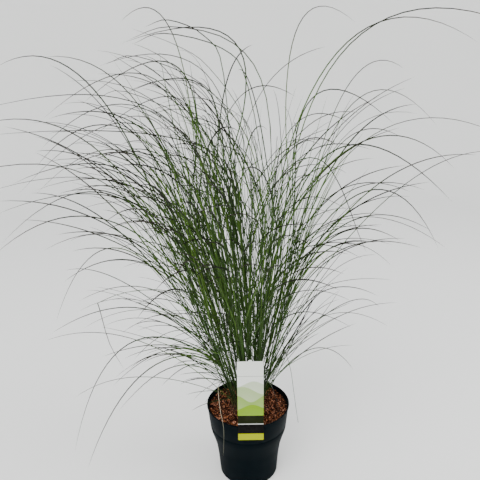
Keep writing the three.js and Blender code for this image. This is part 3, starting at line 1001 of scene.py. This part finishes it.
class MAIDENGRASS_OT_label(bpy.types.Operator):
    """Models the label: a tall sheet with rounded corners, a tab on top and a hook on the rim"""

    bl_idname = "maiden_grass.label"
    bl_label = "Label"

    def execute(self, context):
        look = settings().label
        low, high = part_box("label")
        top = high.z - look.tab_height
        front = low.y + look.thickness / 2
        centre = label_middle()
        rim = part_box("pot")[1].z
        deselect()
        bpy.ops.mesh.primitive_plane_add(
            size=1, location=(centre, front, (low.z + top) / 2), rotation=(pi / 2, 0, 0))
        sheet = named("label_sheet")
        sheet.scale = (high.x - low.x, top - low.z, 1)
        settle(sheet)
        edit(sheet)
        bpy.ops.mesh.bevel(offset=look.corner, segments=4, affect="VERTICES")
        leave_edit()
        apply_modifier(sheet, "SOLIDIFY", "Thickness", thickness=look.thickness, offset=0)

        deselect()
        bpy.ops.mesh.primitive_cylinder_add(
            vertices=32, radius=1, depth=look.thickness, location=(centre, front, top),
            rotation=(pi / 2, 0, 0))
        tab = named("tab")
        tab.scale = (look.tab_width / 2, look.tab_height, 1)
        combine(sheet, tab, "UNION")

        over = rim + look.hook_rise + look.thickness / 2
        end = rim - look.hook_depth

        def wall(height):
            corner = centre + look.hook_width / 2
            return HOOK_GAP - sqrt(inner_radius(height) ** 2 - corner ** 2)

        deselect()
        bpy.ops.mesh.primitive_plane_add(size=1)
        hook = named("hook")
        corners = [(-1, front), (1, front), (-1, wall(over)), (1, wall(over))]
        for vertex, (side, place) in zip(hook.data.vertices, corners):
            vertex.co = (centre + side * look.hook_width / 2, place, over)
        edit(hook, "DESELECT")
        bpy.ops.mesh.select_mode(type="VERT")
        leave_edit()
        for vertex in hook.data.vertices:
            vertex.select = vertex.co.y > front + look.thickness
        bpy.ops.object.mode_set(mode="EDIT")
        bpy.ops.mesh.extrude_edges_move(
            TRANSFORM_OT_translate={"value": (0, wall(end) - wall(over), end - over)})
        leave_edit()
        apply_modifier(hook, "SOLIDIFY", "Thickness", thickness=look.thickness, offset=0)
        combine(sheet, hook, "UNION")
        turn_outward(sheet)
        smooth(sheet, 30)
        sheet.data.materials.append(label_material(look, low.z, top))
        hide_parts("label")
        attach(sheet, BODY)
        return {"FINISHED"}


# Shoots

def make_shoot(index):
    """One stem of the clump: its foot on the crown, its lean and its middle line."""
    share = sqrt((index + 0.5) / SHOOTS)
    draw = dice(index + 1)
    outward = index * GOLDEN_ANGLE
    foot = polar(outward, CLUMP_RADIUS * share, CROWN_TOP)
    first = leaning(outward, STEM_LEAN * share + draw(-1, 1))
    first[0] -= sin(radians(CLUMP_LEAN))
    first /= np.linalg.norm(first)
    azimuth = degrees(atan2(first[1], first[0]))
    lean = degrees(acos(first[2]))
    length = mix(*STEM_LENGTH, share ** 2) * draw(*LENGTH_CHANGE)
    last = leaning(azimuth + STEM_SWAY * draw(-0.5, 0.5), lean + STEM_BOW * draw(*BOW_CHANGE))
    middle = foot + first * length / 2
    top = middle + last * length / 2
    return SimpleNamespace(index=index, share=share, azimuth=azimuth, lean=lean, foot=foot,
                           first=first, middle=middle, top=top)


def on_stem(shoot, share):
    return bezier(shoot.foot, shoot.middle, shoot.top, [share])[0]


def centre_lines(node):
    """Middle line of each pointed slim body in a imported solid, from its root to its tip."""
    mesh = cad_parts[node].data
    corners = np.empty(len(mesh.vertices) * 3, np.float32)
    mesh.vertices.foreach_get("co", corners)
    places, number = np.unique(corners.reshape(-1, 3).round(5), axis=0, return_inverse=True)
    number = number.ravel()
    neighbours = [set() for _ in places]
    for face in mesh.polygons:
        ring = {int(number[corner]) for corner in face.vertices}
        for corner in ring:
            neighbours[corner] |= ring - {corner}
    lines = []
    for tip, around in enumerate(neighbours):
        line = [places[tip]]
        ring, seen = set(around), {tip}
        while len(ring) == SOLID_SIDES:
            line.append(places[list(ring)].mean(axis=0))
            seen |= ring
            ring = set().union(*(neighbours[corner] for corner in ring)) - seen
        if len(line) >= SOLID_SPANS:
            lines.append(np.array(line[::-1], float))
    return lines


def whole_leaf(line, shares):
    """A solid leaf's curve from its root on: its outer rings lie on one parabola."""
    known = np.arange(1, SOLID_SPANS + 1) / SOLID_SPANS
    curve = np.polyfit(known, line[-SOLID_SPANS:], 2)
    shares = np.asarray(shares)[:, None]
    return curve[0] * shares ** 2 + curve[1] * shares + curve[2]


def smooth_line(points, steps):
    """Curve through the points, with the given number of steps between two of them."""
    ends = np.vstack([2 * points[0] - points[1], points, 2 * points[-1] - points[-2]])
    line = []
    for before, start, end, after in zip(ends, ends[1:], ends[2:], ends[3:]):
        for share in np.arange(steps) / steps:
            leave, arrive = (end - before) / 2, (after - start) / 2
            square, cube = share ** 2, share ** 3
            line.append((2 * cube - 3 * square + 1) * start + (cube - 2 * square + share) * leave
                        + (3 * square - 2 * cube) * end + (cube - square) * arrive)
    return np.array([*line, points[-1]])


def wander(line, draw, size):
    """The line with a slight sway sideways, none at its ends."""
    shares = np.linspace(0, 1, len(line))
    length = np.linalg.norm(np.diff(line, axis=0), axis=1).sum()
    along = np.gradient(line, axis=0)
    aside = np.cross(along, UP)
    aside /= np.maximum(np.linalg.norm(aside, axis=1), 1e-9)[:, None]
    fade = np.sin(pi * shares)
    sway = size * length * fade * np.sin(2 * pi * (draw(0.5, 1.3) * shares + draw()))
    return line + aside * sway[:, None]


def ring_frames(line, rolls):
    """Sideways and upward unit vectors at each point of a line, turned about it by the rolls."""
    along = np.gradient(line, axis=0)
    along /= np.linalg.norm(along, axis=1)[:, None]
    across = np.cross(line[-1] - line[0], UP)
    across /= np.linalg.norm(across)
    lift = np.cross(across, along)
    lift /= np.linalg.norm(lift, axis=1)[:, None]
    side = np.cross(along, lift)
    turn, level = np.sin(rolls)[:, None], np.cos(rolls)[:, None]
    return side * level + lift * turn, lift * level - side * turn


class Strands:
    """Collects closed slim bodies into one mesh with its strand map, tones and materials."""

    def __init__(self):
        self.places, self.faces, self.maps, self.tones, self.kinds = [], [], [], [], []
        self.count = 0

    def add(self, rings, across, tone, kind=0, pointed=True, reach=1.0):
        """Adds a body from its rings; its last ring is drawn to a point if it is pointed. Its
        map runs from 0 to the reach along it."""
        spans, sides = rings.shape[0] - 1, rings.shape[1]
        first = self.count
        number = first + np.arange((spans + 1) * sides).reshape(spans + 1, sides)
        places = rings.reshape(-1, 3)
        for ring in range(spans - pointed):
            low, high = reach * ring / spans, reach * (ring + 1) / spans
            for side in range(sides):
                other = (side + 1) % sides
                self.faces.append((number[ring, side], number[ring, other],
                                   number[ring + 1, other], number[ring + 1, side]))
                near, far = across[side], across[side + 1]
                self.maps.extend([(near, low), (far, low), (far, high), (near, high)])
        self.faces.append(tuple(number[0, ::-1]))
        self.maps.extend([(0.5, 0.0)] * sides)
        if pointed:
            places = places[:spans * sides + 1]
            places[-1] = rings[-1].mean(axis=0)
            tip = first + spans * sides
            for side in range(sides):
                other = (side + 1) % sides
                self.faces.append((number[spans - 1, side], number[spans - 1, other], tip))
                low = reach * (spans - 1) / spans
                self.maps.extend([(across[side], low), (across[side + 1], low), (0.5, reach)])
        else:
            self.faces.append(tuple(number[spans]))
            self.maps.extend([(0.5, reach)] * sides)
        self.places.append(places)
        self.tones.extend([tone] * len(places))
        self.kinds.extend([kind] * (len(self.faces) - len(self.kinds)))
        self.count += len(places)

    def piece(self, name, materials):
        mesh = bpy.data.meshes.new(name)
        faces = [[int(corner) for corner in face] for face in self.faces]
        mesh.from_pydata(np.concatenate(self.places).tolist(), [], faces)
        mesh.uv_layers.new(name="strand").data.foreach_set(
            "uv", np.array(self.maps, np.float32).ravel())
        mesh.attributes.new("tone", "FLOAT", "POINT").data.foreach_set("value", self.tones)
        for material in materials:
            mesh.materials.append(material)
        mesh.polygons.foreach_set("material_index", self.kinds)
        piece = bpy.data.objects.new(name, mesh)
        bpy.context.scene.collection.objects.link(piece)
        smooth(piece, 60)
        return piece


# Map across a blade's four corners, from the midrib round to it again
BLADE_MAP = (0.5, 1.0, 0.5, 0.0, 0.5)


def blade(line, width, keel, fold, rolls):
    """Rings of a folded leaf: its midrib above, right edge, keel below and left edge. It is
    half as wide at its root, and narrows to its tip."""
    shares = np.linspace(0, 1, len(line))[:, None]
    half = width / 2 * np.minimum(1, 0.5 + 2.2 * shares) * (1 - 0.9 * shares ** 6)
    deep = keel * (1 - 0.6 * shares)
    side, lift = ring_frames(line, rolls)
    lifted = lift * half * fold
    return np.stack([line, line + side * half + lifted,
                     line - lift * deep, line - side * half + lifted], axis=1)


def tube(line, radii, sides):
    side, lift = ring_frames(line, np.zeros(len(line)))
    angles = 2 * pi * np.arange(sides) / sides
    rings = [line + (lift * cos(angle) + side * sin(angle)) * radii[:, None] for angle in angles]
    return np.stack(rings, axis=1)


# Fine leaves between the solids' own. The leaves of a kind leave their stem between two shares
# of its length. Their root and tip lean out by angles in these ranges, in degrees, and their
# length is in metres. They spread to both sides of their shoot's own direction, by an angle for
# a shoot in the middle and one for a shoot at the edge. A part of those that head to the right is
# sent to the left, and of those in front to the back. The width is a share of a broad leaf's, the
# reach says how much of a leaf's colours they run through, and the tone how bright they are.
# Where says which shoots bear them, by the shoot's share of the clump's radius and by how far it
# points to the right, from -1 to 1
Kind = namedtuple(
    "Kind", "seed roots start end length spread leftward backward width where reach tone",
    defaults=(1.0, (0, 1)))
ERECT = Kind(
    seed=3000, roots=(0.02, 0.62), start=(0, 3), end=(6, 42), length=(0.36, 0.72),
    spread=(30, 20), leftward=0, backward=0, width=0.66, where=lambda share, right: True,
    reach=0.42)
ARCHING = Kind(
    seed=5000, roots=(0.45, 0.97), start=(2, 12), end=(66, 122), length=(0.40, 0.70),
    spread=(170, 80), leftward=0.3, backward=0.8, width=0.8,
    where=lambda share, right: share < 0.75 or right > 0)
LOW = Kind(
    seed=4000, roots=(0.12, 0.46), start=(14, 44), end=(80, 126), length=(0.22, 0.58),
    spread=(70, 40), leftward=0.85, backward=0.7, width=0.74,
    where=lambda share, right: share > 0.55)
PLUME = Kind(
    seed=5500, roots=(0.7, 0.99), start=(-2, 12), end=(84, 112), length=(0.50, 0.80),
    spread=(50, 40), leftward=1, backward=0.8, width=0.74,
    where=lambda share, right: share < 0.8 and right < 0.5)
SIDE = Kind(
    seed=6500, roots=(0.0, 0.3), start=(2, 26), end=(18, 80), length=(0.22, 0.48),
    spread=(50, 50), leftward=0, backward=0.6, width=0.7,
    where=lambda share, right: share > 0.55 and right > 0.2)
DARK = Kind(
    seed=6000, roots=(0.1, 0.26), start=(36, 62), end=(88, 128), length=(0.09, 0.19),
    spread=(40, 40), leftward=1, backward=0.5, width=0.55,
    where=lambda share, right: share > 0.7 and right < -0.2, tone=(0, 0.15))

# A leaf is in front where the sine of its azimuth is under this
FRONT = -0.7
# Where a leaf's curve bends, as a share of its length; how far its tip turns aside, in degrees;
# and the stretch that makes up for the length that the bend takes
BEND_PLACES = (0.54, 0.74)
TIP_TURN = 12
BEND_STRETCH = 1.06

# Leaves drawn through places of their own, in millimetres from root to tip: those that top the
# plume at the left, one that is broken and hangs from its kink, and one that falls at the right.
# The root is moved to the nearest place on a stem
GUIDED_LEAVES = (
    ((35, 0, 850), (5, 5, 1130), (-96, 20, 1282), (-183, 20, 1340), (-300, 20, 1384)),
    ((85, 0, 880), (58, -20, 1200), (-26, -30, 1338), (-187, -30, 1381), (-302, -30, 1350)),
    ((45, 20, 860), (10, 30, 1230), (-58, 40, 1330), (-214, 40, 1371), (-300, 40, 1345)),
    ((-20, 0, 850), (-55, -5, 1260), (-102, -10, 1358), (-194, -10, 1399), (-257, -10, 1383)),
    ((0, 10, 800), (-35, 20, 1100), (-110, 30, 1235), (-289, 30, 1313), (-376, 30, 1294)),
    ((-60, -20, 830), (-130, -40, 1110), (-205, -40, 1217), (-253, -40, 1257), (-346, -40, 1320)),
    ((30, 0, 800), (-5, 0, 1090), (-98, 0, 1223), (-210, 0, 1251), (-325, 0, 1222)),
    ((-20, 20, 780), (-60, 25, 980), (-126, 25, 1122), (-325, 25, 1222), (-414, 25, 1200)),
    ((-130, 0, 560), (-229, -10, 644), (-359, -10, 643), (-444, -10, 612), (-450, -10, 603),
     (-447, -10, 585), (-427, -10, 470), (-389, -10, 379)),
    ((60, 0, 860), (98, 0, 981), (162, 0, 1034), (219, 0, 1025), (259, 0, 973), (291, 0, 908),
     (328, 0, 815), (356, 0, 754)),
)
GUIDED_WIDTH = 0.85
GUIDED_TONE = (0.1, 0.5)

# Points along a stem, a solid's leaf and a fine leaf, and spans along a guided leaf
STEM_POINTS = 22
LEAF_POINTS = 23
FINE_POINTS = 17
GUIDED_SPANS = 24
STEM_SIDES = 8

# Room round the pot and the label, round the crown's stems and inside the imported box
LEAF_ROOM = 7 * MM
CROWN_ROOM = 6 * MM
BOX_ROOM = 2 * MM
TRIES = 60

# Sideways sway of a leaf as a share of its length, and the ranges of its roll in radians, of
# its width and of its fold
LEAF_SWAY = 0.0012
LEAF_ROLLS = (0.65, 1.2)
LEAF_WIDTHS = (0.78, 1.05)
LEAF_FOLDS = (0.35, 0.6)


def fine_leaf(kind, shoot, rank, attempt, count):
    """Line of one fine leaf, of a rank among its kind's count on the shoot."""
    draw = dice(kind.seed + shoot.index, rank, attempt)
    share = mix(*kind.roots, (rank + draw()) / count)
    azimuth = shoot.azimuth + draw(-1, 1) * mix(*kind.spread, shoot.share)
    if cos(radians(azimuth)) > 0 and draw() < kind.leftward:
        azimuth = 180 - azimuth
    if sin(radians(azimuth)) < FRONT and draw() < kind.backward:
        azimuth = -azimuth
    length = mix(*kind.length, draw())
    along = max(cos(radians(azimuth - shoot.azimuth)), 0)
    start = shoot.lean * along + draw(*kind.start)
    root = on_stem(shoot, share)
    bend = draw(*BEND_PLACES)
    control = root + leaning(azimuth, start) * length * bend
    last = leaning(azimuth + draw(-TIP_TURN, TIP_TURN), draw(*kind.end))
    tip = control + last * length * (BEND_STRETCH - bend)
    return bezier(root, control, tip, np.linspace(0, 1, FINE_POINTS))


def guided_leaf(places, shoots):
    """Number of the shoot that a guided leaf grows from, and the leaf's line."""
    places = np.array(places) * MM
    shares = np.linspace(0.1, 0.98, 40)
    stems = np.array([bezier(shoot.foot, shoot.middle, shoot.top, shares) for shoot in shoots])
    gaps = np.linalg.norm(stems - places[0], axis=2)
    owner, nearest = np.unravel_index(gaps.argmin(), gaps.shape)
    places[0] = stems[owner, nearest]
    return owner, smooth_line(places, GUIDED_SPANS // len(places))


def is_clear(line):
    """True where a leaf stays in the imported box, off the pot, and off and clear in front of
    the label."""
    low, high = (np.array(corner) for corner in CAD_BOX)
    label_low, label_high = (np.array(corner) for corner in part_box("label"))
    label_low[1] = low[1]
    pot_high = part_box("pot")[1]
    in_label = ((line > label_low - LEAF_ROOM) & (line < label_high + LEAF_ROOM)).all(axis=1)
    reach = np.hypot(line[:, 0], line[:, 1])
    in_pot = (reach < pot_high.x + LEAF_ROOM) & (line[:, 2] < pot_high.z + LEAF_ROOM)
    on_crown = reach < CLUMP_RADIUS + CROWN_ROOM
    inside = (line > low + BOX_ROOM).all() and (line < high - BOX_ROOM).all()
    return inside and not in_label.any() and not (in_pot & ~on_crown).any()


def first_clear(propose):
    for attempt in range(TRIES):
        line = propose(attempt)
        if is_clear(line):
            return line
    raise RuntimeError("a leaf found no clear place")


def stem_rings(shoot, radius):
    """Rings of a stem from its buried end up, thicker at every fourth one, where a sheath ends."""
    rise = np.linspace(0, 1, STEM_POINTS)
    buried = shoot.foot - shoot.first * STEM_DEPTH
    line = np.vstack([buried, bezier(shoot.foot, shoot.middle, shoot.top, rise)])
    radii = radius * np.concatenate([[0.9], mix(1.0, 0.42, rise ** 0.8)])
    radii[1::4] *= 1.16
    return tube(line, radii, STEM_SIDES)


def shoot_strands(shoot, look, guided):
    """Stem and leaves of one shoot."""
    strands = Strands()
    draw = dice(SHOOT_SEED + shoot.index)
    strands.add(stem_rings(shoot, look.stem_radius), np.arange(STEM_SIDES + 1) / STEM_SIDES,
                draw(), kind=1, pointed=False)

    def leaf(line, width=1, tone=(0, 1), reach=1.0, sway=LEAF_SWAY):
        turn = draw(*LEAF_ROLLS) * (1 if draw() < 0.5 else -1)
        rolls = turn * np.linspace(0.85, 1.2, len(line))
        rings = blade(wander(line, draw, sway), look.leaf_width * width * draw(*LEAF_WIDTHS),
                      look.keel, draw(*LEAF_FOLDS), rolls)
        strands.add(rings, BLADE_MAP, draw(*tone), reach=reach)

    for solid_line in centre_lines(f"shoot_{shoot.index + 1:02d}"):
        leaf(whole_leaf(solid_line, np.linspace(0, 1, LEAF_POINTS)))
    counts = (
        (ERECT, round(mix(*look.erect_leaves, shoot.share))), (ARCHING, look.arching_leaves),
        (LOW, look.low_leaves), (PLUME, look.plume_leaves), (SIDE, look.side_leaves),
        (DARK, look.dark_leaves),
    )
    for kind, count in counts:
        if not kind.where(shoot.share, cos(radians(shoot.azimuth))):
            continue
        for rank in range(count):
            line = first_clear(lambda attempt: fine_leaf(kind, shoot, rank, attempt, count))
            leaf(line, kind.width, kind.tone, kind.reach)
    for line in guided:
        leaf(line, GUIDED_WIDTH, GUIDED_TONE, sway=0)
    return strands


class MAIDENGRASS_OT_shoots(bpy.types.Operator):
    """Grows the shoots: each a stem with its sheaths and long folded leaves"""

    bl_idname = "maiden_grass.shoots"
    bl_label = "Shoots"

    def execute(self, context):
        look = settings().grass
        materials = [leaf_material(look), stem_material(look)]
        shoots = [make_shoot(index) for index in range(SHOOTS)]
        guided = [guided_leaf(places, shoots) for places in GUIDED_LEAVES]
        for index, shoot in enumerate(shoots):
            own = [line for owner, line in guided if owner == index]
            strands = shoot_strands(shoot, look, own)
            piece = strands.piece(f"grass_shoot_{index + 1:02d}", materials)
            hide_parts(f"shoot_{index + 1:02d}")
            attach(piece, BODY)
        return {"FINISHED"}


# Twist of a dead leaf from root to tip and its chance turn, in radians, and its fold
DEAD_TWIST = 2
DEAD_TURN = 0.4
DEAD_FOLD = 0.5


class MAIDENGRASS_OT_dead_leaves(bpy.types.Operator):
    """Hangs the two dead leaves past the rim"""

    bl_idname = "maiden_grass.dead_leaves"
    bl_label = "Dead leaves"

    def execute(self, context):
        look = settings().grass
        straw = straw_material(look)
        for number, side in enumerate(("left", "right")):
            line = smooth_line(centre_lines(f"dry_leaf_{side}")[0], 3)
            draw = dice(DEAD_SEED + number)
            rolls = DEAD_TWIST * np.linspace(0, 1, len(line)) + draw(-DEAD_TURN, DEAD_TURN)
            strands = Strands()
            rings = blade(line, look.dead_width, look.keel, DEAD_FOLD, rolls)
            strands.add(rings, BLADE_MAP, draw())
            piece = strands.piece(f"dead_leaf_{side}", [straw])
            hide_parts(f"dry_leaf_{side}")
            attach(piece, BODY)
        return {"FINISHED"}


# Stage

BACKDROP_CURVE = 1.4
BACKDROP_WALL = 4.0
CURVE_STEPS = 12
# Lights: diameter and place. Both point at the middle of the plant
KEY_LIGHT = (3.2, (-1.4, -2.6, 4.2))
FILL_LIGHT = (2.6, (3.0, -0.6, 3.2))
PLANT_MIDDLE = (0, 0, 0.7)


def add_light(name, power, size, place):
    light = bpy.data.lights.new(name, "AREA")
    light.energy = power
    light.shape = "DISK"
    light.size = size
    lamp = bpy.data.objects.new(name, light)
    lamp.location = place
    aim = Vector(PLANT_MIDDLE) - Vector(place)
    lamp.rotation_euler = aim.to_track_quat("-Z", "Y").to_euler()
    bpy.context.scene.collection.objects.link(lamp)


class MAIDENGRASS_OT_stage(bpy.types.Operator):
    """Sets the pale round backdrop, the soft lights and the camera"""

    bl_idname = "maiden_grass.stage"
    bl_label = "Stage"

    def execute(self, context):
        look = settings().stage
        reach = look.backdrop_radius
        deselect()
        bpy.ops.mesh.primitive_circle_add(vertices=96, radius=reach, fill_type="NGON")
        backdrop = named("backdrop")
        edit(backdrop)
        bpy.ops.mesh.select_mode(type="EDGE")
        bpy.ops.mesh.region_to_loop()
        radius, height = reach, 0.0
        for step in range(1, CURVE_STEPS + 2):
            angle = min(step, CURVE_STEPS) / CURVE_STEPS * pi / 2
            next_radius = reach + BACKDROP_CURVE * sin(angle)
            next_height = BACKDROP_CURVE * (1 - cos(angle))
            if step > CURVE_STEPS:
                next_height += BACKDROP_WALL
            bpy.ops.mesh.extrude_edges_move(
                TRANSFORM_OT_translate={"value": (0, 0, next_height - height)})
            scale = next_radius / radius
            bpy.ops.transform.resize(value=(scale, scale, 1))
            radius, height = next_radius, next_height
        leave_edit()
        turn_outward(backdrop)
        smooth(backdrop, 60)
        backdrop.data.materials.append(backdrop_material(look))

        add_light("key", look.key_power, *KEY_LIGHT)
        add_light("fill", look.fill_power, *FILL_LIGHT)

        world = bpy.data.worlds.new("Studio")
        world.use_nodes = True
        background = world.node_tree.nodes["Background"]
        background.inputs["Color"].default_value = (*SKY_COLOUR, 1)
        background.inputs["Strength"].default_value = look.sky_strength
        context.scene.world = world

        camera = bpy.data.objects.new("camera", bpy.data.cameras.new("camera"))
        camera.data.lens = look.lens
        camera.data.sensor_width = 36
        turn = (Matrix.Rotation(pi / 2 - look.camera_pitch, 4, "X")
                @ Matrix.Rotation(look.camera_roll, 4, "Z"))
        camera.matrix_world = Matrix.Translation(look.camera_place) @ turn
        context.scene.collection.objects.link(camera)
        context.scene.camera = camera
        return {"FINISHED"}


OPERATORS = (
    MAIDENGRASS_OT_stage, MAIDENGRASS_OT_pot, MAIDENGRASS_OT_root_ball, MAIDENGRASS_OT_bark,
    MAIDENGRASS_OT_label, MAIDENGRASS_OT_shoots, MAIDENGRASS_OT_dead_leaves,
)


class MAIDENGRASS_PT_panel(bpy.types.Panel):
    """Lists the pieces of the potted grass"""

    bl_idname = "MAIDENGRASS_PT_panel"
    bl_label = "Potted maiden grass"
    bl_space_type = "VIEW_3D"
    bl_region_type = "UI"
    bl_category = "Grass"

    def draw(self, context):
        for operator in OPERATORS:
            self.layout.operator(operator.bl_idname)


CLASSES = (
    StageSettings, PotSettings, BarkSettings, LabelSettings, GrassSettings, PlantSettings,
    *OPERATORS, MAIDENGRASS_PT_panel,
)


def register():
    for item in CLASSES:
        bpy.utils.register_class(item)
    bpy.types.Scene.maiden_grass = PointerProperty(type=PlantSettings)


def unregister():
    del bpy.types.Scene.maiden_grass
    for item in reversed(CLASSES):
        bpy.utils.unregister_class(item)


def main():
    register()
    for operator in OPERATORS:
        group, name = operator.bl_idname.split(".")
        getattr(getattr(bpy.ops, group), name)()


if __name__ == "__main__":
    main()
